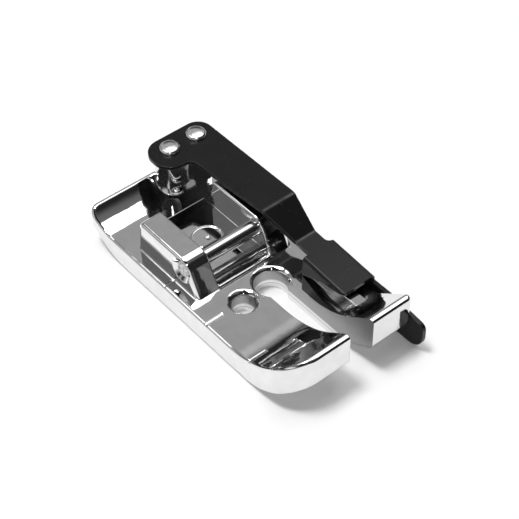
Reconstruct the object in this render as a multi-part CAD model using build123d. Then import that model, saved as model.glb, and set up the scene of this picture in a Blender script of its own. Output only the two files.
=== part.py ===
"""Clip-on quarter-inch sewing machine presser foot with an edge guide.

The part is drawn from the needle point on the sole's underside, with +X to the right, +Y to the back
and +Z up, and is then moved so that the origin is the middle of the snap pin.
"""
from build123d import *
import os
from math import radians, sqrt, tan

# Sole: a plate with turned-up toes at the front and a turned-up lip at the back
SOLE_THICKNESS = 2.6
SOLE_WIDTH = 14.6
TOE_REACH = 12.2
REAR_REACH = 18.5
TOE_RISE = 4.3
TOE_ANGLE = 38.0
TOE_BEND = 10.0
TOE_TIP = 3.9
TOE_CREST = 0.6
TOE_CREST_FALL = 12.0
TOE_CREST_EDGE = 0.4
TOE_UNDER_ANGLE = 31.0
TOE_UNDER_BEND = 6.0
LIP_RISE = 1.95
LIP_ANGLE = 41.5
LIP_BEND = 5.0
LIP_TIP = 2.0
LIP_UNDER_ANGLE = 33.0
LIP_UNDER_BEND = 6.0
TOE_CORNER = 3.2
REAR_CORNER = 1.1
RIGHT_TOE_CORNER = 0.5
SOLE_EDGE = 0.35

# Needle slot, second needle hole and seam marks
SLOT_WIDTH = 2.8
NEEDLE_BORE = 3.3
NEEDLE_RIM = 0.4
NEEDLE_BACK = 0.3
SECOND_NEEDLE = 3.7
SECOND_BORE = 2.3
SECOND_RIM = 0.45
MARK_PITCH = 6.35
MARK_LENGTH = 2.2
MARK_WIDTH = 0.4
MARK_DEPTH = 0.2

# Lugs, the raised floor between them and the snap pin
LUG_LEFT_INSET = 1.4
LUG_RIGHT_INSET = 1.6
LUG_THICKNESS = 2.6
LUG_HEIGHT = 3.57
LUG_FRONT = 2.7
LUG_REAR = 12.1
LUG_FRONT_RUN = 1.85
LUG_REAR_DRAFT = 0.35
LUG_NOSE = 1.6
LUG_HEEL = 0.5
LUG_OUTER_EDGE = 0.5
LUG_INNER_EDGE = 0.2
LUG_FOOT = 0.1
FLOOR_HEIGHT = 0.3
FLOOR_OVERHANG = 1.0
RING_BEHIND_PIN = 3.3
RING_RADIUS = 1.65
RING_WIDTH = 0.25
RING_DEPTH = 0.12
DOT_RADIUS = 0.3
PIN_AHEAD = 5.2
PIN_RISE = 2.2
PIN_DIAMETER = 1.7
PIN_FIT = 0.03
PIN_RECESS = 0.15
PIN_CHAMFER = 0.15
STAKE_DIAMETER = 2.7
STAKE_DEPTH = 0.45

# Boss at the back right, which carries the guide on two rivets
BOSS_HEIGHT = 4.3
BOSS_RADIUS = 1.5
BOSS_FOOT = 1.95
BOSS_WAIST = 1.0
BOSS_DRAFT = 3.0
BOSS_FLARE = 2.0
BOSS_SETBACK = 0.05
RIVET_INSET = 1.45
RIVET_LEFT = 1.05
RIVET_PITCH = 3.3
RIVET_SHANK = 1.1
RIVET_FIT = 0.03
RIVET_DEPTH = 3.0
RIVET_HEAD = 2.1
RIVET_HEAD_HEIGHT = 0.55
RIVET_DOME = 0.35

# Rib on the right toe, beside the guide's flange
RIB_WIDTH = 1.3
RIB_HEIGHT = 1.25
RIB_REAR = -0.6
RIB_EDGE = 0.1
RIB_CLEARANCE = 0.05

# Edge guide: one folded piece of spring steel
SEAM_WIDTH = 6.35
GUIDE_CLEARANCE = 0.1
GUIDE_THICKNESS = 0.4
GUIDE_BEND = 0.9
GUIDE_OVERHANG = 0.35
GUIDE_LEFT = -1.3
GUIDE_LOBE_REACH = 2.55
GUIDE_LOBE_CORNER = 1.95
GUIDE_INNER_CORNER = 0.9
GUIDE_BACK_INSET = 0.45
GUIDE_BACK_CORNER = 1.6
STRIP_REAR_LEFT = 1.75
STRIP_FRONT_LEFT = 2.4
STRIP_INSET = 0.33
UPPER_BEND = 4.45
LOWER_BEND = 0.85
GUIDE_DROP = 2.2
NECK_LEFT = 3.55
NECK_INSET = 0.78
NECK_CORNER = 0.6
PLATE_REAR = -1.0
PLATE_FRONT = -6.7
PLATE_FALL = 0.55
PLATE_CUT = 0.6
FLANGE_LEFT = 2.75
FLANGE_CLEARANCE = 0.1
FLANGE_BREAK = -3.7
FLANGE_RISE = 1.05
FLANGE_SWEEP = 3.0
FOLD_RADIUS = 0.35
BLADE_TIP = -13.75
BLADE_BOTTOM = 0.15
BLADE_TOP = 3.95
BLADE_TIP_TOP = 3.4
BLADE_TIP_UPPER = 0.7
BLADE_TIP_LOWER = 1.7
BLADE_TOP_BREAK = -9.0

# Places worked out from the sizes above
sole_right = SEAM_WIDTH - GUIDE_CLEARANCE
sole_left = sole_right - SOLE_WIDTH
sole_top = SOLE_THICKNESS
toe_slope = tan(radians(TOE_ANGLE))
toe_under_slope = tan(radians(TOE_UNDER_ANGLE))
lip_slope = tan(radians(LIP_ANGLE))
lip_under_slope = tan(radians(LIP_UNDER_ANGLE))
toe_start = -TOE_REACH + TOE_RISE / toe_slope
bend_start = toe_start + TOE_BEND * tan(radians(TOE_ANGLE / 2))
lip_start = REAR_REACH - LIP_RISE / lip_slope
lug_top = sole_top + LUG_HEIGHT
gap_left = sole_left + LUG_LEFT_INSET + LUG_THICKNESS
gap_right = sole_right - LUG_RIGHT_INSET - LUG_THICKNESS
lug_gap = gap_right - gap_left
lug_middle = (gap_left + gap_right) / 2
pin_height = sole_top + PIN_RISE
boss_top = sole_top + BOSS_HEIGHT
guide_top = boss_top + GUIDE_THICKNESS
plate_top = guide_top - GUIDE_DROP
blade_right = SEAM_WIDTH + GUIDE_THICKNESS
rivet_back = REAR_REACH - RIVET_INSET
rivet_places = [(RIVET_LEFT, rivet_back), (RIVET_LEFT + RIVET_PITCH, rivet_back)]
guide_back = REAR_REACH + GUIDE_OVERHANG
lobe_front = rivet_back - GUIDE_LOBE_REACH
OVERRUN = 2.0


def outline(*corners):
    """Closed face through the corners, each given as two coordinates and the radius that rounds it."""
    face = make_face(Polyline(*[(u, v) for u, v, _ in corners], close=True))
    for u, v, radius in corners:
        if radius:
            face = fillet(face.vertices().sort_by_distance((u, v))[0], radius)
    return face


def along_x(face, start, end):
    """Prism of a side view, given in Y and Z, between two places on X."""
    return extrude(Plane.YZ.offset(start) * face, end - start)


def rod_along_x(radius, start, end):
    """Round bar on the snap pin's axis."""
    return Pos((start + end) / 2, PIN_AHEAD, pin_height) * Rot(0, 90, 0) * Cylinder(radius, end - start)


def toe_surface(y):
    """Height of the sole's top where the flat bends up into the toe."""
    ahead = max(bend_start - y, 0)
    return sole_top + TOE_BEND - sqrt(TOE_BEND ** 2 - ahead ** 2)


def make_blank():
    """Sole without openings: its side view, trimmed to its plan and rounded along the rims."""
    front = -TOE_REACH - OVERRUN
    rear = REAR_REACH + OVERRUN
    crest = sole_top + TOE_RISE - TOE_CREST * toe_slope
    crest_drop = (TOE_CREST + OVERRUN) * tan(radians(TOE_CREST_FALL))
    toe_under = sole_top + TOE_RISE - TOE_TIP
    lip_under = sole_top + LIP_RISE - LIP_TIP
    side = outline(
        (front, crest - crest_drop, 0),
        (-TOE_REACH + TOE_CREST, crest, TOE_CREST_EDGE),
        (toe_start, sole_top, TOE_BEND),
        (lip_start, sole_top, LIP_BEND),
        (rear, sole_top + LIP_RISE + OVERRUN * lip_slope, 0),
        (rear, lip_under + OVERRUN * lip_under_slope, 0),
        (REAR_REACH - lip_under / lip_under_slope, 0, LIP_UNDER_BEND),
        (-TOE_REACH + toe_under / toe_under_slope, 0, TOE_UNDER_BEND),
        (front, toe_under + OVERRUN * toe_under_slope, 0),
    )
    blank = along_x(side, sole_left - OVERRUN, sole_right + OVERRUN) & make_plan(0)
    for up in (1, -1):
        rims = blank.faces().filter_by(lambda face: face.normal_at().Z * up > 0.2).edges()
        blank = fillet(rims.filter_by(on_rim), SOLE_EDGE)
    return blank


def make_plan(inset):
    """Upright prism of the sole's plan, drawn in by the inset and taller than the whole foot."""
    left = sole_left + inset
    right = sole_right - inset
    front = -TOE_REACH + inset
    rear = REAR_REACH - inset
    plan = outline(
        (left, front, TOE_CORNER - inset),
        (right, front, RIGHT_TOE_CORNER - inset),
        (right, rear, REAR_CORNER - inset),
        (left, rear, REAR_CORNER - inset),
    )
    return extrude(plan, guide_top)


def on_rim(edge):
    """True for an edge on the sole's outline, false for a seam that crosses it from side to side."""
    crosses = edge.bounding_box().size.X > SOLE_WIDTH / 2
    inside = -TOE_REACH + SOLE_EDGE < edge.center().Y < REAR_REACH - SOLE_EDGE
    return not (crosses and inside)


def make_lug(inner, outer):
    """Lug with a sloping rounded front, between its inner and outer faces on X."""
    side = outline(
        (LUG_FRONT, sole_top, 0),
        (LUG_FRONT + LUG_FRONT_RUN, lug_top, LUG_NOSE),
        (LUG_REAR - LUG_REAR_DRAFT, lug_top, LUG_HEEL),
        (LUG_REAR, sole_top, 0),
    )
    lug = along_x(side, min(inner, outer), max(inner, outer))
    for place, radius in ((outer, LUG_OUTER_EDGE), (inner, LUG_INNER_EDGE)):
        above = lug.edges().filter_by(lambda edge: edge.center().Z > sole_top + SOLE_EDGE)
        lug = fillet(above.filter_by(lambda edge: abs(edge.center().X - place) < PIN_FIT), radius)
    sink = Cone(PIN_DIAMETER / 2, STAKE_DIAMETER / 2, STAKE_DEPTH)
    turn = 90 if outer > inner else -90
    inward = STAKE_DEPTH / 2 if outer > inner else -STAKE_DEPTH / 2
    return lug - Pos(outer - inward, PIN_AHEAD, pin_height) * Rot(0, turn, 0) * sink


def on_lug_foot(edge):
    """True for an edge where a lug stands on the sole's flat top."""
    box = edge.bounding_box()
    flat = abs(box.min.Z - sole_top) < PIN_FIT and box.size.Z < PIN_FIT
    return flat and LUG_FRONT - PIN_FIT < box.min.Y and box.max.Y < LUG_REAR + PIN_FIT


def make_boss():
    """Tapered oblong boss with a flared foot, rooted in the sole and cut flat just inside its rim."""
    foot = sole_top - BOSS_SETBACK
    waist = foot + BOSS_WAIST
    waist_radius = BOSS_RADIUS + (boss_top - waist) * tan(radians(BOSS_DRAFT))
    half = outline(
        (0, foot, 0),
        (BOSS_FOOT, foot, 0),
        (waist_radius, waist, BOSS_FLARE),
        (BOSS_RADIUS, boss_top, 0),
        (0, boss_top, 0),
    )
    bell = revolve(Plane.XZ * half, Axis.Z)
    whole = Plane.YZ * (half + mirror(half, Plane.YZ))
    boss = extrude(whole, RIVET_PITCH) + bell + Pos(RIVET_PITCH, 0, 0) * bell
    return Pos(*rivet_places[0]) * boss & make_plan(SOLE_EDGE + BOSS_SETBACK)


def make_rib():
    """Low rib that keeps the guide in line and runs out into the right toe."""
    left = FLANGE_LEFT + GUIDE_THICKNESS + RIB_CLEARANCE
    front = bend_start - sqrt(TOE_BEND ** 2 - (TOE_BEND - RIB_HEIGHT - RIB_EDGE) ** 2)
    bar = Box(RIB_WIDTH, RIB_REAR - front, RIB_HEIGHT, align=Align.MIN)
    rib = Pos(left, front, sole_top) * bar
    return fillet(rib.edges().filter_by(Axis.Y).group_by(Axis.Z)[-1], RIB_EDGE)


def make_openings():
    """Needle slot with its round end, the second needle hole, the marks and the ring on the floor."""
    slot_front = -TOE_REACH - OVERRUN
    slot = Pos(0, slot_front / 2, 0) * Box(SLOT_WIDTH, -slot_front, 4 * (sole_top + TOE_RISE))
    openings = [slot]
    first = (0, NEEDLE_BACK, NEEDLE_BORE, NEEDLE_RIM)
    second = (-SECOND_NEEDLE, 0, SECOND_BORE, SECOND_RIM)
    for x, y, bore, rim in (first, second):
        openings.append(Pos(x, y, 0) * Cylinder(bore / 2, 4 * sole_top))
        openings.append(Pos(x, y, sole_top - rim / 2) * Cone(bore / 2, bore / 2 + rim, rim))
    for step in (-1, 0, 1):
        y = step * MARK_PITCH
        lug_side = LUG_FRONT < y < LUG_REAR
        length = gap_left - LUG_THICKNESS - sole_left if lug_side else MARK_LENGTH
        depth = toe_surface(y) - MARK_DEPTH
        groove = Box(2 * length, MARK_WIDTH, 2 * MARK_DEPTH, align=(Align.CENTER, Align.CENTER, Align.MIN))
        openings.append(Pos(sole_left, y, depth) * groove)
    floor_top = sole_top + FLOOR_HEIGHT
    ring = Cylinder(RING_RADIUS, 2 * RING_DEPTH) - Cylinder(RING_RADIUS - RING_WIDTH, 2 * RING_DEPTH)
    ring += Cylinder(DOT_RADIUS, 2 * RING_DEPTH)
    openings.append(Pos(lug_middle, PIN_AHEAD + RING_BEHIND_PIN, floor_top) * ring)
    return openings


def make_sole():
    """The foot's casting: sole, lugs, floor, boss and rib, with its openings and holes."""
    floor_front = LUG_FRONT
    floor_length = LUG_REAR + FLOOR_OVERHANG - floor_front
    floor_place = Pos(lug_middle, floor_front + floor_length / 2, sole_top)
    sole = make_blank() + make_lug(gap_left, gap_left - LUG_THICKNESS)
    sole += make_lug(gap_right, gap_right + LUG_THICKNESS)
    sole = fillet(sole.edges().filter_by(on_lug_foot), LUG_FOOT)
    sole += floor_place * Box(lug_gap, floor_length, 2 * FLOOR_HEIGHT)
    sole += make_boss()
    sole += make_rib()
    for opening in make_openings():
        sole -= opening
    sole -= rod_along_x(PIN_DIAMETER / 2 + PIN_FIT, gap_left - LUG_THICKNESS, gap_right + LUG_THICKNESS)
    for x, y in rivet_places:
        sole -= Pos(x, y, boss_top - RIVET_DEPTH / 2) * Cylinder(RIVET_SHANK / 2 + RIVET_FIT, RIVET_DEPTH)
    return sole


def make_pin():
    """Snap pin, pressed through both lugs and set back a little from their outer faces."""
    reach = lug_gap / 2 + LUG_THICKNESS - PIN_RECESS
    pin = rod_along_x(PIN_DIAMETER / 2, lug_middle - reach, lug_middle + reach)
    return chamfer(pin.edges().filter_by(GeomType.CIRCLE), PIN_CHAMFER)


def make_rivets():
    """Two rivets with flat-topped round heads."""
    rivets = []
    for x, y in rivet_places:
        head = Cylinder(RIVET_HEAD / 2, RIVET_HEAD_HEIGHT, align=(Align.CENTER, Align.CENTER, Align.MIN))
        head = fillet(head.edges().group_by(Axis.Z)[-1], RIVET_DOME)
        length = RIVET_DEPTH - RIVET_FIT + GUIDE_THICKNESS
        shank = Cylinder(RIVET_SHANK / 2, length, align=(Align.CENTER, Align.CENTER, Align.MAX))
        rivets.append(Pos(x, y, guide_top) * (head + shank))
    return rivets


def plate_height(y):
    """Height of the guide's front plate, which falls a little toward the front."""
    return plate_top - PLATE_FALL * (LOWER_BEND - y) / (LOWER_BEND - PLATE_FRONT)


def make_guide():
    """Edge guide: a folded strip trimmed to its plan, with a left flange and a right blade turned down."""
    end = PLATE_FRONT - OVERRUN
    path = FilletPolyline(
        (guide_back + OVERRUN, guide_top),
        (UPPER_BEND, guide_top),
        (LOWER_BEND, plate_top),
        (end, plate_height(end)),
        radius=GUIDE_BEND,
    )
    sheet = make_face(offset(path, GUIDE_THICKNESS, side=Side.LEFT, closed=True))
    plan = outline(
        (GUIDE_LEFT, guide_back, GUIDE_LOBE_CORNER),
        (GUIDE_LEFT, lobe_front, GUIDE_LOBE_CORNER),
        (STRIP_REAR_LEFT, lobe_front, GUIDE_INNER_CORNER),
        (STRIP_FRONT_LEFT, UPPER_BEND, 0),
        (NECK_LEFT, LOWER_BEND, 0),
        (NECK_LEFT, PLATE_REAR, NECK_CORNER / 2),
        (FLANGE_LEFT, PLATE_REAR, 0),
        (FLANGE_LEFT, PLATE_FRONT + PLATE_CUT, 0),
        (FLANGE_LEFT + PLATE_CUT / 2, PLATE_FRONT, 0),
        (blade_right, PLATE_FRONT, 0),
        (blade_right, PLATE_REAR, 0),
        (blade_right - NECK_INSET, PLATE_REAR, NECK_CORNER),
        (blade_right - NECK_INSET, LOWER_BEND, 0),
        (blade_right - STRIP_INSET, UPPER_BEND, 0),
        (blade_right - GUIDE_BACK_INSET, guide_back, GUIDE_BACK_CORNER),
    )
    guide = along_x(sheet, GUIDE_LEFT - OVERRUN, blade_right + OVERRUN) & extrude(plan, 2 * guide_top)
    guide += make_flange()
    guide += make_blade()
    for x in (FLANGE_LEFT, blade_right):
        folds = guide.edges().filter_by(lambda edge: is_fold(edge, x))
        guide = fillet(folds, FOLD_RADIUS)
    for x, y in rivet_places:
        guide -= Pos(x, y, guide_top) * Cylinder(RIVET_SHANK / 2 + RIVET_FIT, 4 * GUIDE_THICKNESS)
    return guide


def is_fold(edge, x):
    """True for the upper outer edge of the front plate at the given place on X."""
    middle = edge.center()
    return abs(middle.X - x) < PIN_FIT and abs(middle.Z - plate_height(middle.Y)) < PIN_FIT


def make_flange():
    """Flange turned down along the plate's left edge, swept up to nothing at the front."""
    bottom = sole_top + FLANGE_CLEARANCE
    front = PLATE_FRONT + PLATE_CUT
    side = outline(
        (PLATE_REAR, plate_height(PLATE_REAR), 0),
        (PLATE_REAR, bottom, 0),
        (FLANGE_BREAK, bottom + FLANGE_RISE, FLANGE_SWEEP),
        (front, plate_height(front) - GUIDE_THICKNESS, 0),
        (front, plate_height(front), 0),
    )
    return along_x(side, FLANGE_LEFT, FLANGE_LEFT + GUIDE_THICKNESS)


def make_blade():
    """Blade turned down along the plate's right edge: the fence that the fabric's edge runs along."""
    side = outline(
        (PLATE_REAR, plate_height(PLATE_REAR), 0),
        (PLATE_FRONT, plate_height(PLATE_FRONT), 0),
        (PLATE_FRONT, BLADE_TOP, 0),
        (BLADE_TOP_BREAK, BLADE_TOP, 0),
        (BLADE_TIP, BLADE_TIP_TOP, BLADE_TIP_UPPER),
        (BLADE_TIP, BLADE_BOTTOM, BLADE_TIP_LOWER),
        (PLATE_REAR, BLADE_BOTTOM, NECK_CORNER),
    )
    return along_x(side, SEAM_WIDTH, blade_right)


def main():
    """Write each piece to its own file, with the snap pin's middle at the origin."""
    to_pin = Pos(-lug_middle, -PIN_AHEAD, -pin_height)
    pieces = {
        "foot_sole": [make_sole()],
        "snap_pin": [make_pin()],
        "edge_guide": [make_guide()],
        "guide_rivets": make_rivets(),
    }
    os.makedirs("parts", exist_ok=True)
    for name, solids in pieces.items():
        export_step(Compound(children=[to_pin * solid for solid in solids]), f"parts/{name}.step")


main()
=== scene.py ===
"""Presser foot with an edge guide: finishes for its pieces, and the floor, light and camera of its stage."""

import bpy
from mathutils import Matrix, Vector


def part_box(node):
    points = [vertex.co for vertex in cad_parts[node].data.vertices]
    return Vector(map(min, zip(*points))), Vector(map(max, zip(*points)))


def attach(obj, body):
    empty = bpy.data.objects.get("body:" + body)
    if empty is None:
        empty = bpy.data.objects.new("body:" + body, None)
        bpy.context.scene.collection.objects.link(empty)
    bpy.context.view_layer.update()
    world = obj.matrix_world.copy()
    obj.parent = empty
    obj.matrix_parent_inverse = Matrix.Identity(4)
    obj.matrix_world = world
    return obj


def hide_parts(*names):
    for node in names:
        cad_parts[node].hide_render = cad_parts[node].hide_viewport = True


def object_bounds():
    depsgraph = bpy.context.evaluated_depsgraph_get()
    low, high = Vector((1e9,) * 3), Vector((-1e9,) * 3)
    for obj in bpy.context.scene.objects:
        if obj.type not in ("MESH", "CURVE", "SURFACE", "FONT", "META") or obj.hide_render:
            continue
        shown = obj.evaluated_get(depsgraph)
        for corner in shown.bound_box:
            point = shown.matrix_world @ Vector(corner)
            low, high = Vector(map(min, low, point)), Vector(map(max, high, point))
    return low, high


bl_info = {
    "name": "Presser Foot",
    "version": (1, 0, 0),
    "blender": (4, 5, 0),
    "location": "View3D > Sidebar > Presser Foot",
    "description": "Finishes and stage for a quarter-inch presser foot with an edge guide",
    "category": "Object",
}

import bpy
import numpy as np
from bpy.props import FloatProperty, FloatVectorProperty, PointerProperty
from mathutils import Vector

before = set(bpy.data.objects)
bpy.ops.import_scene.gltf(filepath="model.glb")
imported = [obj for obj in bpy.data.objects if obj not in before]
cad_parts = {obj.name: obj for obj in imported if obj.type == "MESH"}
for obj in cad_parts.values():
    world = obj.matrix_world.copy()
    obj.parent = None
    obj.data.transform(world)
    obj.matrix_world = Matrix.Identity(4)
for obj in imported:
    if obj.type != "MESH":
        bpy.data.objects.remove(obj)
MM = 0.001
CAD_BOX = [list(corner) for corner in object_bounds()]
FLOOR_HEIGHT = CAD_BOX[0][2]

# Lengths, places and depths on the pieces are in millimetres, in the frame of the solids.
# A step is a pair of values: what it masks is 0 at the first and 1 at the second.
# A pattern is a pair too: the noise's cells per millimetre, before any stretch, and its detail.

# Needle slot, each hole's place, radius and rim width, and steps of the walls' painted floor reflection and
# line
SLOT_MIDDLE = 1.15
SLOT_HALF = 1.4
SLOT_BACK = -5.7
BORES = ((1.15, -4.9, 1.65), (-2.55, -5.2, 1.15))
RIMS = (0.4, 0.45)
RIM_FOOT = -2.75
WALL_BLUR = 0.04
WALL_REFLECTION_STEP = (-3.6, -3.9)
WALL_LINE = -4.15
WALL_LINE_STEP = (0.1, 0.03)
WALL_LINE_SHARE = 0.6

# Floor between the lugs, its worn rear edge, and the radius and half width of its ring and of its dot
FLOOR_TOP = -1.9
FLOOR_STEP = (0.16, 0.12)
FLOOR_REAR = 7.9
FLOOR_HALF = 3.2
REAR_STEP = (0.1, 0.05)
REAR_HEIGHT_STEP = (-2.02, -1.98)
RING_PLACE = (0.0, 3.3)
RINGS = ((1.525, 0.13), (0.0, 0.3))
RING_STEP = (1.05, 1.0)

# Each mark's middle, its groove's floor, the sole's height at its front and rear edge, and its right end
MARKS = (
    (1.15, -2.4, -2.2, -2.2, -5.82),
    (-5.2, -2.4, -2.2, -2.2, -5.0),
    (-11.55, -1.907, -1.64, -1.77, -5.0),
)
MARK_HALF = 0.195
MARK_LEFT = -7.15
MARK_ROOM = 0.005
RIM_START = -6.85
RIM_RADIUS = 0.35

# Step that turns cloudy noise into patches, on the plate and on the pin's ends
CLOUD_STEP = (0.35, 0.65)

# Plate: its patterns, then what they add to its roughness, grey and height
HAZE = (0.35, 3.0)
PLATE_GRAIN = (9.0, 2.0)
RIPPLES = (0.5, 1.0)
DIMPLES = (1.7, 1.0)
SCRATCHES = (1.6, 4.0)
SCRATCH_STRETCH = (7.0, 0.5, 2.0)
SCRATCH_STEP = (0.62, 0.72)
MOTTLE = (0.8, 4.0)
MOTTLE_SHARE = 0.5
HAZE_DULLNESS = 0.04
SCRATCH_DULLNESS = 0.05
REAR_DULLNESS = 0.5
PLATE_SPREAD = 0.04
DIMPLE_DEPTH = 0.003
PLATE_GRAIN_DEPTH = 0.0004

# Pin: its end, the step toward it over which the staking sets in, its patterns and what they add
PIN_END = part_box("snap_pin")[1].x / MM
STAKED_STEP = (PIN_END - 0.25, PIN_END - 0.05)
PIN_STRETCH = (14.0, 0.4, 0.4)
PIN_RINGS = (1.0, 3.0)
PITS = (4.5, 5.0)
PIN_GREY = 0.66
PIT_GREY = 0.3
PIN_RING_DEPTH = 0.001
PIT_DEPTH = 0.05
PIN_ROUGHNESS = 0.12
END_DULLNESS = 0.15
PIN_RING_DULLNESS = 0.05

# Guide: its patterns and what they add, its edges and two bends along Y, paler as wear and painted highlight
BLACK_GRAIN = (6.0, 3.0)
BLACK_CLOUD = (0.45, 2.0)
BLACK_SPREAD = 0.3
SPECKS = (4.5, 1.0)
SPECK_STEP = (0.77, 0.8)
SPECK_SHARE = 0.5
SPECK_GREY = 0.15
EDGE_STEP = (0.02, 0.2)
BENDS = (-0.75, -4.35)
BEND_HIGHLIGHT_STEP = (0.14, 0.04)
BEND_HIGHLIGHT_SHARE = 0.6
WEAR_AND_HIGHLIGHT_STEP = (0.3, 0.6)
BLACK_ROUGHNESS = 0.22
CLOUD_DULLNESS = 0.14
BLACK_SPECULAR = 0.28

# Rivets: the box gives their places, the head and shank are the node's, then their patterns and what they add
RIVET_LOW, RIVET_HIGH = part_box("guide_rivets")
HEAD_RADIUS = 1.05
HEAD_HEIGHT = 0.55
SHANK_RADIUS = 0.55
DENTS = (1.6, 2.0)
RIVET_GRAIN = (8.0, 2.0)
RIVET_GREYS = (0.68, 0.82)
DENT_DEPTH = 0.03
RIVET_ROUGHNESS = 0.16
DENT_DULLNESS = 0.14

# Steps along and across the new pieces, and rays that round an edge in the shading
ROUND_STEPS = 96
CURVE_STEPS = 12
EDGE_RAYS = 6

# Floor of the stage: its pattern and what it adds, and its roughness
PAPER = (0.02, 3.0)
PAPER_SPREAD = 0.01
PAPER_ROUGHNESS = 0.9

# Parts of the room, each bounded by steps of a ray's direction: across to the right, back and up
BEHIND_BACK = (-0.1, 0.3)
BEHIND_UP = (0.28, 0.5)
RIGHT_ACROSS = (-0.4, 0.2)
FRONT_UP = (0.7, 0.9)
FRONT_ACROSS = (-0.1, 0.2)
BAND_FOOT = (0.38, 0.48)
BAND_HEAD = (0.64, 0.54)
BAND_BACK = (0.6, 0.7)
LOW_ACROSS = (-0.2, -0.6)
LOW_UP = (0.35, 0.05)
PATCH_ACROSS = (-0.5, -0.65)
PATCH_FOOT = (0.36, 0.44)
PATCH_HEAD = (0.66, 0.58)
PATCH_BACK = (-0.2, -0.05)

# Each light's middle and size as shares of the lights' height, and the property that holds its radiance
LIGHTS = (
    ("key_light", (-0.21, 0.2, 1.0), (0.25, 0.25), "key_radiance"),
    ("side_card", (0.4, 0.16, 1.01), (0.9, 0.68), "side_radiance"),
    ("back_card", (-0.3, 0.63, 1.0), (0.4, 0.22), "back_radiance"),
    ("fill_light", (-0.55, -0.65, 1.0), (0.09, 0.09), "fill_radiance"),
)

# Nearest distance that the camera sees, in metres
CAMERA_NEAR = 0.01


class Shade:
    """A node's output. Arithmetic on it adds Math nodes to the same tree."""

    def __init__(self, tree, socket):
        self.tree = tree
        self.socket = socket

    def math(self, operation, first, second):
        """Result of one Math node, where a number or a shade may stand on either side."""
        return self.tree.node("ShaderNodeMath", {"operation": operation}, {0: first, 1: second})

    def __add__(self, other):
        return self.math("ADD", self, other)

    def __radd__(self, other):
        return self.math("ADD", other, self)

    def __sub__(self, other):
        return self.math("SUBTRACT", self, other)

    def __rsub__(self, other):
        return self.math("SUBTRACT", other, self)

    def __mul__(self, other):
        return self.math("MULTIPLY", self, other)

    def __rmul__(self, other):
        return self.math("MULTIPLY", other, self)

    def __pow__(self, other):
        return self.math("POWER", self, other)

    def __abs__(self):
        return self.math("ABSOLUTE", self, 0.0)


class Tree:
    """A material's or a world's node tree, filled by one method."""

    def __init__(self, owner):
        owner.use_nodes = True
        self.nodes = owner.node_tree.nodes
        self.links = owner.node_tree.links
        self.nodes.clear()

    def node(self, kind, settings, sockets, output=0):
        """Adds a node, sets what it is, then fills its sockets with values or links."""
        made = self.nodes.new(kind)
        for name, value in settings.items():
            setattr(made, name, value)
        for key, value in sockets.items():
            if isinstance(value, Shade):
                self.links.new(value.socket, made.inputs[key])
            else:
                made.inputs[key].default_value = value
        return Shade(self, made.outputs[output]) if made.outputs else None

    def millimetres(self):
        """Place on the piece, in millimetres."""
        place = self.node("ShaderNodeTexCoord", {}, {}, "Object")
        return self.node("ShaderNodeVectorMath", {"operation": "SCALE"}, {0: place, "Scale": 1.0 / MM})

    def axis(self, place, name):
        """One coordinate of a place."""
        return self.node("ShaderNodeSeparateXYZ", {}, {0: place}, name)

    def from_axis(self, place, x, y):
        """Distance of a place from an upright axis."""
        return ((self.axis(place, "X") - x) ** 2.0 + (self.axis(place, "Y") - y) ** 2.0) ** 0.5

    def stretched(self, place, factors):
        """Place stretched by a factor along each axis."""
        return self.node("ShaderNodeVectorMath", {"operation": "MULTIPLY"}, {0: place, 1: factors})

    def noise(self, place, pattern):
        """Cloudy noise between 0 and 1, from a pattern's scale and detail."""
        scale, detail = pattern
        return self.node("ShaderNodeTexNoise", {}, {"Vector": place, "Scale": scale, "Detail": detail})

    def ramp(self, value, step, kind="SMOOTHSTEP"):
        """Step from 0 at its first value to 1 at its second, smooth unless another kind is named."""
        sockets = {"Value": value, "From Min": step[0], "From Max": step[1]}
        return self.node("ShaderNodeMapRange", {"interpolation_type": kind}, sockets)

    def mix(self, factor, first, second):
        """Colour between two colours."""
        sockets = {"Factor": factor, 6: first, 7: second}
        return self.node("ShaderNodeMix", {"data_type": "RGBA"}, sockets, 2)

    def bump(self, height, depth, normal):
        """Normal raised by a height between 0 and 1, over a depth in millimetres."""
        sockets = {"Height": height, "Distance": depth * MM, "Strength": 1.0, "Normal": normal}
        return self.node("ShaderNodeBump", {}, sockets)

    def rounded(self, radius):
        """Normal that rounds the sharp edges over a radius in millimetres."""
        return self.node("ShaderNodeBevel", {"samples": EDGE_RAYS}, {"Radius": radius * MM})

    def edges(self, rounded):
        """1 where a rounded normal departs from the surface's own, 0 on the flats."""
        flat = self.node("ShaderNodeNewGeometry", {}, {}, "Normal")
        settings = {"operation": "DOT_PRODUCT"}
        alike = self.node("ShaderNodeVectorMath", settings, {0: rounded, 1: flat}, "Value")
        return self.ramp(1.0 - alike, EDGE_STEP)

    def surface(self, **sockets):
        """Principled shader on the output, with its sockets named by words joined with underscores."""
        named = {key.replace("_", " "): value for key, value in sockets.items()}
        shader = self.node("ShaderNodeBsdfPrincipled", {}, named)
        self.node("ShaderNodeOutputMaterial", {}, {"Surface": shader})


def grey(level):
    """Opaque grey."""
    return (level, level, level, 1.0)


def new_tree(name):
    """New material and its empty node tree."""
    material = bpy.data.materials.new(name)
    return material, Tree(material)


def dress(node, material):
    """Gives a piece its finish."""
    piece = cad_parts[node]
    piece.data.materials.clear()
    piece.data.materials.append(material)


def new_piece(name, points, faces, material):
    """New object with a mesh of its own and a finish, its points in metres."""
    mesh = bpy.data.meshes.new(name)
    mesh.from_pydata(points.tolist(), [], faces)
    mesh.materials.append(material)
    piece = bpy.data.objects.new(name, mesh)
    bpy.context.scene.collection.objects.link(piece)
    return piece


def smooth(piece, sharp_angle):
    """Smooths a piece between its sharp edges."""
    piece.data.shade_smooth()
    piece.data.set_sharp_from_angle(angle=sharp_angle)


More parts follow.
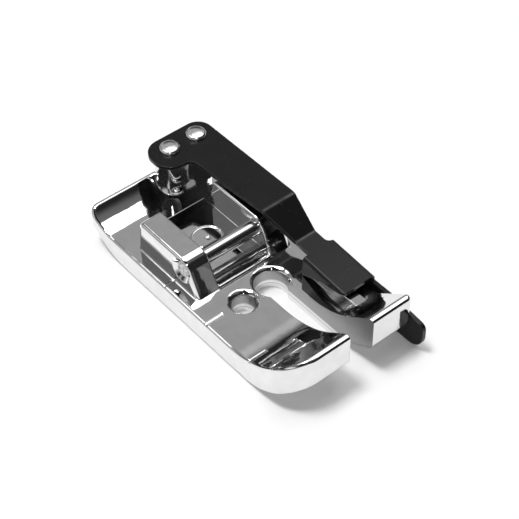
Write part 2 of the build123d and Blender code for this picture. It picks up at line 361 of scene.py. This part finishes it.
def bored_walls(tree, place):
    """1 on the walls of the needle slot and of the two holes, 0 on the rest of the sole."""
    beside = abs(tree.axis(place, "X") - SLOT_MIDDLE)
    walls = tree.ramp(beside, (SLOT_HALF + WALL_BLUR, SLOT_HALF))
    walls = walls * tree.ramp(tree.axis(place, "Y"), (SLOT_BACK, SLOT_BACK - WALL_BLUR))
    for x, y, radius in BORES:
        walls = walls + tree.ramp(tree.from_axis(place, x, y), (radius + WALL_BLUR, radius))
    return walls


def wall_grey(tree, place, finish):
    """Grey of the bored walls, paler at their foot as a painted reflection of the floor, but for a darker
    line round it.
    """
    up = tree.axis(place, "Z")
    line = tree.ramp(abs(up - WALL_LINE), WALL_LINE_STEP) * WALL_LINE_SHARE
    # The paler foot is a painted reflection of the white floor, cut by a darker line round the wall.
    foot = tree.ramp(up, WALL_REFLECTION_STEP) - line
    return tree.mix(foot, grey(finish.wall_grey), grey(finish.wall_floor_reflection))


def rounded_rims(tree, place):
    """Height that turns each hole's straight rim into a quarter circle: the arc's height over its chord."""
    above = tree.ramp(tree.axis(place, "Z"), (RIM_FOOT - WALL_BLUR, RIM_FOOT))
    height = 0.0
    for (x, y, radius), rim in zip(BORES, RIMS):
        inward = tree.ramp(tree.from_axis(place, x, y), (radius + rim, radius), "LINEAR")
        height = height + ((1.0 - inward ** 2.0) ** 0.5 - 1.0 + inward) * rim
    return height * above


def hollow_rings(tree, place):
    """Height that falls by a parabola across the ring in the floor between the lugs, and across its dot."""
    low = tree.ramp(abs(tree.axis(place, "Z") - FLOOR_TOP), FLOOR_STEP)
    from_middle = tree.from_axis(place, *RING_PLACE)
    height = 1.0
    for radius, half in RINGS:
        near = abs(from_middle - radius) * (1.0 / half)
        height = height - low * tree.ramp(near, RING_STEP) * (1.0 - near ** 2.0)
    return height


def rear_line(tree, place):
    """1 along the worn rear edge of the floor between the lugs."""
    near = tree.ramp(abs(tree.axis(place, "Y") - FLOOR_REAR), REAR_STEP)
    high = tree.ramp(tree.axis(place, "Z"), REAR_HEIGHT_STEP)
    return near * high * tree.ramp(abs(tree.axis(place, "X")), (FLOOR_HALF + WALL_BLUR, FLOOR_HALF))


def plated_casting(finish, name, edge):
    """Bright plate over a tumbled casting: ripples, haze, mottle and scratches, dull in its openings, with a
    painted floor reflection.
    """
    material, tree = new_tree(name)
    place = tree.millimetres()
    grain = tree.noise(place, PLATE_GRAIN)
    scratch = tree.noise(tree.stretched(place, SCRATCH_STRETCH), SCRATCHES)
    mottle = tree.ramp(tree.noise(place, MOTTLE), CLOUD_STEP)
    walls = bored_walls(tree, place)
    roughness = finish.plate_roughness + tree.noise(place, HAZE) * HAZE_DULLNESS
    roughness = roughness + tree.ramp(scratch, SCRATCH_STEP) * SCRATCH_DULLNESS
    roughness = roughness + walls * finish.wall_roughness + rear_line(tree, place) * REAR_DULLNESS
    darker = grey(finish.plate_grey - PLATE_SPREAD)
    paler = grey(finish.plate_grey + PLATE_SPREAD)
    colour = tree.mix(mottle * MOTTLE_SHARE + grain * (1.0 - MOTTLE_SHARE), darker, paler)
    colour = tree.mix(walls, colour, wall_grey(tree, place, finish))
    normal = tree.bump(tree.noise(place, RIPPLES), finish.plate_ripple, tree.rounded(edge))
    normal = tree.bump(tree.noise(place, DIMPLES), DIMPLE_DEPTH, normal)
    normal = tree.bump(hollow_rings(tree, place), finish.ring_hollow, normal)
    normal = tree.bump(rounded_rims(tree, place), finish.rim_round, normal)
    normal = tree.bump(grain, PLATE_GRAIN_DEPTH, normal)
    tree.surface(Base_Color=colour, Metallic=1.0, Roughness=roughness, Normal=normal)
    return material


def pin_steel(finish):
    """Ground steel with rings round the pin, and rough, darker staked ends."""
    material, tree = new_tree("pin_steel")
    place = tree.millimetres()
    end = tree.ramp(abs(tree.axis(place, "X")), STAKED_STEP)
    rings = tree.noise(tree.stretched(place, PIN_STRETCH), PIN_RINGS)
    pits = tree.ramp(tree.noise(place, PITS), CLOUD_STEP)
    colour = tree.mix(end * pits, grey(PIN_GREY), grey(PIT_GREY))
    roughness = PIN_ROUGHNESS + end * END_DULLNESS + rings * PIN_RING_DULLNESS
    normal = tree.bump(rings, PIN_RING_DEPTH, tree.rounded(finish.plate_edge))
    normal = tree.bump(pits * end, PIT_DEPTH, normal)
    tree.surface(Base_Color=colour, Metallic=1.0, Roughness=roughness, Normal=normal)
    return material


def black_steel(finish):
    """Satin black on rolled steel: fine grain, cloudy sheen, pale specks, and wear and painted highlight on
    edges and bends.
    """
    material, tree = new_tree("black_steel")
    place = tree.millimetres()
    grain = tree.noise(place, BLACK_GRAIN)
    cloud = tree.noise(place, BLACK_CLOUD)
    speck = tree.ramp(tree.noise(place, SPECKS), SPECK_STEP)
    darker = grey(finish.black_grey * (1.0 - BLACK_SPREAD))
    paler = grey(finish.black_grey * (1.0 + BLACK_SPREAD))
    colour = tree.mix(grain, darker, paler)
    colour = tree.mix(speck * SPECK_SHARE, colour, grey(SPECK_GREY))
    rounded = tree.rounded(finish.black_edge)
    # Edges and bends are paler: partly wear, partly a painted highlight.
    wear_and_highlight = tree.edges(rounded)
    for bend in BENDS:
        wear_and_highlight = wear_and_highlight + tree.ramp(abs(tree.axis(place, "Y") - bend), BEND_HIGHLIGHT_STEP) * BEND_HIGHLIGHT_SHARE
    colour = tree.mix(wear_and_highlight * tree.ramp(cloud, WEAR_AND_HIGHLIGHT_STEP), colour, grey(finish.black_wear_and_highlight))
    tree.surface(
        Base_Color=colour, Metallic=0.0, Roughness=BLACK_ROUGHNESS + cloud * CLOUD_DULLNESS,
        Specular_IOR_Level=BLACK_SPECULAR, Normal=tree.bump(grain, finish.black_grain, rounded),
    )
    return material


def rivet_steel(finish):
    """Plated rivet heads with a dulled, hammered top."""
    material, tree = new_tree("rivet_steel")
    place = tree.millimetres()
    dents = tree.noise(place, DENTS)
    darker, paler = RIVET_GREYS
    colour = tree.mix(tree.noise(place, RIVET_GRAIN), grey(darker), grey(paler))
    normal = tree.bump(dents, DENT_DEPTH, tree.rounded(finish.plate_edge))
    roughness = RIVET_ROUGHNESS + dents * DENT_DULLNESS
    tree.surface(Base_Color=colour, Metallic=1.0, Roughness=roughness, Normal=normal)
    return material


def rivet_profile(finish):
    """Radius and height along half a rivet's outline, from the shank's foot to the top's middle.

    The shank and the head's underside are straight. The head's edge is a quarter circle, and its top a
    parabola that rises by the crown.
    """
    top = RIVET_HIGH.z / MM
    bottom = RIVET_LOW.z / MM
    seat = top - HEAD_HEIGHT
    shoulder = top - finish.rivet_crown
    edge = finish.rivet_edge
    flat = HEAD_RADIUS - edge
    straight = np.array([(0.0, bottom), (SHANK_RADIUS, bottom), (SHANK_RADIUS, seat), (HEAD_RADIUS, seat)])
    angle = np.linspace(0.0, np.pi / 2, CURVE_STEPS)
    corner = np.stack([flat + edge * np.cos(angle), shoulder - edge + edge * np.sin(angle)], 1)
    radius = np.linspace(flat, 0.0, CURVE_STEPS)[1:]
    crown = finish.rivet_crown * (1.0 - (radius / flat) ** 2)
    return np.concatenate([straight, corner, np.stack([radius, shoulder + crown], 1)])


def turned_rivets(finish):
    """Both rivets: the profile turned round each one's axis, its ends closed on the axis by triangles."""
    profile = rivet_profile(finish)
    radius, height = profile[1:-1].T
    turn = np.linspace(0.0, 2 * np.pi, ROUND_STEPS, endpoint=False)
    level = np.repeat(height[:, None], ROUND_STEPS, 1)
    wall = np.stack([np.outer(radius, np.cos(turn)), np.outer(radius, np.sin(turn)), level], 2).reshape(-1, 3)
    poles = np.array([(0.0, 0.0, profile[0, 1]), (0.0, 0.0, profile[-1, 1])])
    rivet = np.concatenate([wall, poles])
    around = np.arange(ROUND_STEPS)
    onward = (around + 1) % ROUND_STEPS
    low = np.arange(len(radius) - 1)[:, None] * ROUND_STEPS
    high = low + ROUND_STEPS
    quads = np.stack([low + around, low + onward, high + onward, high + around], 2).reshape(-1, 4)
    last = (len(radius) - 1) * ROUND_STEPS
    foot = np.stack([np.full(ROUND_STEPS, len(wall)), onward, around], 1)
    cap = np.stack([np.full(ROUND_STEPS, len(wall) + 1), last + around, last + onward], 1)
    back = (RIVET_LOW.y + RIVET_HIGH.y) / 2 / MM
    places = (RIVET_LOW.x / MM + HEAD_RADIUS, RIVET_HIGH.x / MM - HEAD_RADIUS)
    points = np.concatenate([rivet + (x, back, 0.0) for x in places]) * MM
    faces = []
    for start in (0, len(rivet)):
        faces += (quads + start).tolist() + (foot + start).tolist() + (cap + start).tolist()
    piece = new_piece("crowned_rivets", points, faces, rivet_steel(finish))
    smooth(piece, finish.sharp_angle)
    return piece


def hollowed_marks(finish):
    """Troughs laid in the sole's square grooves, each a closed outline carried along its mark to the right.

    The trough is a parabola across, and ends on the right as half a round bowl with the same parabola. Its
    edges keep to the sole: a line from front to rear, less the quarter circle of the left rim.
    """
    across = np.linspace(-1.0, 1.0, 2 * CURVE_STEPS + 1)[None, :]
    stations = np.linspace(0.0, 1.0, ROUND_STEPS)[:, None]
    outline = np.concatenate([across, [[1.0, -1.0]]], 1)
    corners = np.arange(ROUND_STEPS * outline.size).reshape(ROUND_STEPS, -1)
    points = []
    faces = []
    for middle, floor, front, rear, right in MARKS:
        along = MARK_LEFT + (right - MARK_ROOM - MARK_LEFT) * stations
        past_rim = np.clip(RIM_START - along, 0.0, None)
        sole = front + (rear - front) * (across + 1.0) / 2
        sole = sole + np.sqrt(RIM_RADIUS ** 2 - past_rim ** 2) - RIM_RADIUS
        near_end = np.clip((along - right + MARK_HALF) / MARK_HALF, 0.0, 1.0)
        hollow = finish.mark_hollow * np.clip(1.0 - across ** 2 - near_end ** 2, 0.0, None)
        top = np.maximum(sole - hollow, floor + 2 * MARK_ROOM)
        height = np.concatenate([top, np.full((ROUND_STEPS, 2), floor + MARK_ROOM)], 1)
        place = np.broadcast_arrays(along, middle + outline * MARK_HALF, height)
        corner = corners + len(points) * corners.size
        onward = np.roll(corner, -1, 1)
        quads = np.stack([corner[:-1], corner[1:], onward[1:], onward[:-1]], 2)
        points.append(np.stack(place, 2).reshape(-1, 3))
        faces += quads.reshape(-1, 4).tolist() + [corner[0].tolist(), corner[-1, ::-1].tolist()]
    finish_of_marks = plated_casting(finish, "plated_marks", edge=0.0)
    piece = new_piece("seam_marks", np.concatenate(points) * MM, faces, finish_of_marks)
    smooth(piece, finish.sharp_angle)
    return piece


def pale_floor(stage):
    """White paper: even, with the faintest mottle."""
    material, tree = new_tree("pale_floor")
    mottle = tree.noise(tree.millimetres(), PAPER)
    colour = tree.mix(mottle, grey(stage.floor_grey - PAPER_SPREAD), grey(stage.floor_grey + PAPER_SPREAD))
    tree.surface(Base_Color=colour, Roughness=PAPER_ROUGHNESS)
    return material


def make_floor(stage):
    """Flat square grid of four corners at the floor's height."""
    half = stage.floor_size / 2
    across, along = np.meshgrid((-half, half), (-half, half))
    points = np.stack([across, along, np.full_like(across, FLOOR_HEIGHT)], 2).reshape(-1, 3)
    floor = new_piece("floor", points, [(0, 1, 3, 2)], pale_floor(stage))


def make_world(stage):
    """Room seen in the plate: grey behind, paler to the right and in a band, and dark near the horizon.

    It is paler too above in front, low on the left, and in a patch halfway up on the left.
    """
    world = bpy.data.worlds.new("room")
    bpy.context.scene.world = world
    tree = Tree(world)
    ray = tree.node("ShaderNodeTexCoord", {}, {}, "Generated")
    across = tree.axis(ray, "X")
    back = tree.axis(ray, "Y")
    up = tree.axis(ray, "Z")
    behind = tree.ramp(back, BEHIND_BACK) * tree.ramp(up, BEHIND_UP)
    right = tree.ramp(across, RIGHT_ACROSS)
    front = tree.ramp(up, FRONT_UP) * tree.ramp(across, FRONT_ACROSS) * (1.0 - behind)
    band = tree.ramp(up, BAND_FOOT) * tree.ramp(up, BAND_HEAD) * tree.ramp(back, BAND_BACK)
    low = tree.ramp(across, LOW_ACROSS) * tree.ramp(up, LOW_UP)
    patch = tree.ramp(across, PATCH_ACROSS) * tree.ramp(up, PATCH_FOOT) * tree.ramp(up, PATCH_HEAD)
    patch = patch * tree.ramp(back, PATCH_BACK)
    level = stage.room_dark + behind * (stage.room_left + right * (stage.room_grey - stage.room_left))
    level = level + front * stage.room_front + low * stage.room_low + band * stage.room_band
    level = level + patch * stage.room_patch
    colour = tree.mix(level, grey(0.0), grey(1.0))
    light = tree.node("ShaderNodeBackground", {}, {"Color": colour, "Strength": 1.0})
    tree.node("ShaderNodeOutputWorld", {}, {"Surface": light})


def make_light(name, middle, size, radiance):
    """Level rectangular light, its power worked out from its radiance and area."""
    light = bpy.data.lights.new(name, "AREA")
    light.shape = "RECTANGLE"
    light.size, light.size_y = size
    light.energy = radiance * np.pi * light.size * light.size_y
    lamp = bpy.data.objects.new(name, light)
    lamp.location = middle
    bpy.context.scene.collection.objects.link(lamp)


def make_camera(stage):
    """Camera with its top level, looking the way the photograph does."""
    camera = bpy.data.cameras.new("camera")
    camera.sensor_width = stage.sensor_width
    camera.lens = stage.sensor_width * stage.focal_pixels / stage.frame_pixels
    camera.clip_start = CAMERA_NEAR
    eye = bpy.data.objects.new("camera", camera)
    eye.location = stage.camera_place
    eye.rotation_euler = Vector(stage.camera_direction).to_track_quat("-Z", "Y").to_euler()
    bpy.context.scene.collection.objects.link(eye)
    bpy.context.scene.camera = eye


class FootFinish(bpy.types.PropertyGroup):
    """Finishes of the foot's pieces."""

    plate_grey: FloatProperty(name="Plate grey", description="Brightness of the plate", default=0.78)
    plate_roughness: FloatProperty(
        name="Plate roughness", description="Least roughness of the plate", default=0.03,
    )
    plate_ripple: FloatProperty(name="Plate ripple", description="Depth of the ripples, in mm", default=0.012)
    plate_edge: FloatProperty(
        name="Plate edge", description="Radius of the plate's edges, in mm", default=0.08,
    )
    wall_grey: FloatProperty(name="Wall grey", description="Brightness of the bored walls", default=0.34)
    # Brightness of the walls' paler foot, a painted reflection of the floor.
    wall_floor_reflection: FloatProperty(
        name="Wall foot", description="Brightness of the bored walls' foot", default=0.8,
    )
    wall_roughness: FloatProperty(
        name="Wall roughness", description="Roughness that the bored walls add", default=0.25,
    )
    mark_hollow: FloatProperty(name="Mark hollow", description="Depth of the marks, in mm", default=0.05)
    ring_hollow: FloatProperty(
        name="Ring hollow", description="Depth of the ring's and the dot's hollow, in mm", default=0.05,
    )
    rim_round: FloatProperty(
        name="Rim round", description="Share of a full round on the holes' rims", default=0.7,
    )
    rivet_crown: FloatProperty(
        name="Rivet crown", description="Rise of the rivets' tops, in mm", default=0.12,
    )
    rivet_edge: FloatProperty(
        name="Rivet edge", description="Radius of the heads' edge, in mm", default=0.33,
    )
    sharp_angle: FloatProperty(
        name="Sharp angle", description="Angle from which an edge of a new piece is sharp", default=0.7,
        subtype="ANGLE",
    )
    black_grey: FloatProperty(name="Black grey", description="Brightness of the black guide", default=0.004)
    # Brightness of the guide's paler edges and bends: wear and painted highlight.
    black_wear_and_highlight: FloatProperty(
        name="Black wear", description="Brightness of the guide's worn edges and bends", default=0.1,
    )
    black_grain: FloatProperty(
        name="Black grain", description="Depth of the guide's grain, in mm", default=0.006,
    )
    black_edge: FloatProperty(
        name="Black edge", description="Radius of the guide's edges, in mm", default=0.08,
    )


class FootStage(bpy.types.PropertyGroup):
    """Floor, room, lights and camera."""

    floor_size: FloatProperty(name="Floor size", description="Side of the floor", default=3.0, unit="LENGTH")
    floor_grey: FloatProperty(name="Floor grey", description="Brightness of the floor", default=0.9)
    room_grey: FloatProperty(
        name="Room grey", description="Brightness of the room behind on the right", default=0.36,
    )
    room_left: FloatProperty(
        name="Room left", description="Brightness of the room behind on the left", default=0.15,
    )
    room_front: FloatProperty(
        name="Room front", description="Brightness of the room above in front", default=0.15,
    )
    room_band: FloatProperty(name="Room band", description="Brightness of a pale band behind", default=0.14)
    room_low: FloatProperty(name="Room low", description="Brightness low on the left", default=0.6)
    room_patch: FloatProperty(
        name="Room patch", description="Brightness of a patch halfway up on the left", default=0.9,
    )
    room_dark: FloatProperty(name="Room dark", description="Least brightness of the room", default=0.02)
    light_height: FloatProperty(
        name="Light height", description="Height of the lights", default=0.6, unit="LENGTH",
    )
    key_radiance: FloatProperty(name="Key light", description="Radiance of the light above", default=35.0)
    side_radiance: FloatProperty(
        name="Side card", description="Radiance of the card above on the right", default=2.0,
    )
    back_radiance: FloatProperty(
        name="Back card", description="Radiance of the card behind on the left", default=2.5,
    )
    fill_radiance: FloatProperty(
        name="Fill light", description="Radiance of the small light behind the camera", default=160.0,
    )
    camera_place: FloatVectorProperty(
        name="Camera place", description="Where the camera stands", default=(-0.0667, -0.0838, 0.1085),
        subtype="TRANSLATION", unit="LENGTH",
    )
    camera_direction: FloatVectorProperty(
        name="Camera direction", description="Way the camera looks", default=(0.4472, 0.5316, -0.7193),
        subtype="DIRECTION",
    )
    sensor_width: FloatProperty(name="Sensor width", description="Width of the sensor, in mm", default=36.0)
    focal_pixels: FloatProperty(name="Focal length", description="Focal length, in pixels", default=1600.0)
    frame_pixels: FloatProperty(
        name="Frame width", description="Width of the picture, in pixels", default=519.0,
    )


class FOOT_OT_sole(bpy.types.Operator):
    """Plates the casting"""

    bl_idname = "foot.sole"
    bl_label = "Plate the sole"

    def execute(self, context):
        finish = context.scene.foot_finish
        dress("foot_sole", plated_casting(finish, "plated_casting", finish.plate_edge))
        return {"FINISHED"}


class FOOT_OT_marks(bpy.types.Operator):
    """Hollows the seam marks"""

    bl_idname = "foot.marks"
    bl_label = "Hollow the marks"

    def execute(self, context):
        marks = hollowed_marks(context.scene.foot_finish)
        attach(marks, "root")
        return {"FINISHED"}


class FOOT_OT_pin(bpy.types.Operator):
    """Finishes the snap pin"""

    bl_idname = "foot.pin"
    bl_label = "Finish the pin"

    def execute(self, context):
        dress("snap_pin", pin_steel(context.scene.foot_finish))
        return {"FINISHED"}


class FOOT_OT_guide(bpy.types.Operator):
    """Blackens the edge guide"""

    bl_idname = "foot.guide"
    bl_label = "Blacken the guide"

    def execute(self, context):
        dress("edge_guide", black_steel(context.scene.foot_finish))
        return {"FINISHED"}


class FOOT_OT_rivets(bpy.types.Operator):
    """Turns the rivets with their crowned heads"""

    bl_idname = "foot.rivets"
    bl_label = "Turn the rivets"

    def execute(self, context):
        rivets = turned_rivets(context.scene.foot_finish)
        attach(rivets, "root")
        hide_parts("guide_rivets")
        return {"FINISHED"}


class FOOT_OT_stage(bpy.types.Operator):
    """Sets the floor, the room, the lights and the camera"""

    bl_idname = "foot.stage"
    bl_label = "Set the stage"

    def execute(self, context):
        stage = context.scene.foot_stage
        context.scene.view_settings.view_transform = "Standard"
        make_camera(stage)
        make_floor(stage)
        make_world(stage)
        high = stage.light_height
        for name, middle, size, radiance in LIGHTS:
            make_light(name, np.multiply(middle, high), np.multiply(size, high), getattr(stage, radiance))
        return {"FINISHED"}


class FOOT_PT_panel(bpy.types.Panel):
    """Lists the foot's steps and sizes"""

    bl_idname = "FOOT_PT_panel"
    bl_label = "Presser Foot"
    bl_space_type = "VIEW_3D"
    bl_region_type = "UI"
    bl_category = "Presser Foot"

    def draw(self, context):
        for group in (context.scene.foot_finish, context.scene.foot_stage):
            for name in group.__annotations__:
                self.layout.prop(group, name)
        for step in STEPS:
            self.layout.operator(step.bl_idname)


STEPS = (FOOT_OT_sole, FOOT_OT_marks, FOOT_OT_pin, FOOT_OT_guide, FOOT_OT_rivets, FOOT_OT_stage)
CLASSES = (FootFinish, FootStage, *STEPS, FOOT_PT_panel)


def register():
    for item in CLASSES:
        bpy.utils.register_class(item)
    bpy.types.Scene.foot_finish = PointerProperty(type=FootFinish)
    bpy.types.Scene.foot_stage = PointerProperty(type=FootStage)


def unregister():
    del bpy.types.Scene.foot_stage
    del bpy.types.Scene.foot_finish
    for item in reversed(CLASSES):
        bpy.utils.unregister_class(item)


def main():
    """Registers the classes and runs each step."""
    register()
    for step in STEPS:
        group, name = step.bl_idname.split(".")
        getattr(getattr(bpy.ops, group), name)()


if __name__ == "__main__":
    main()
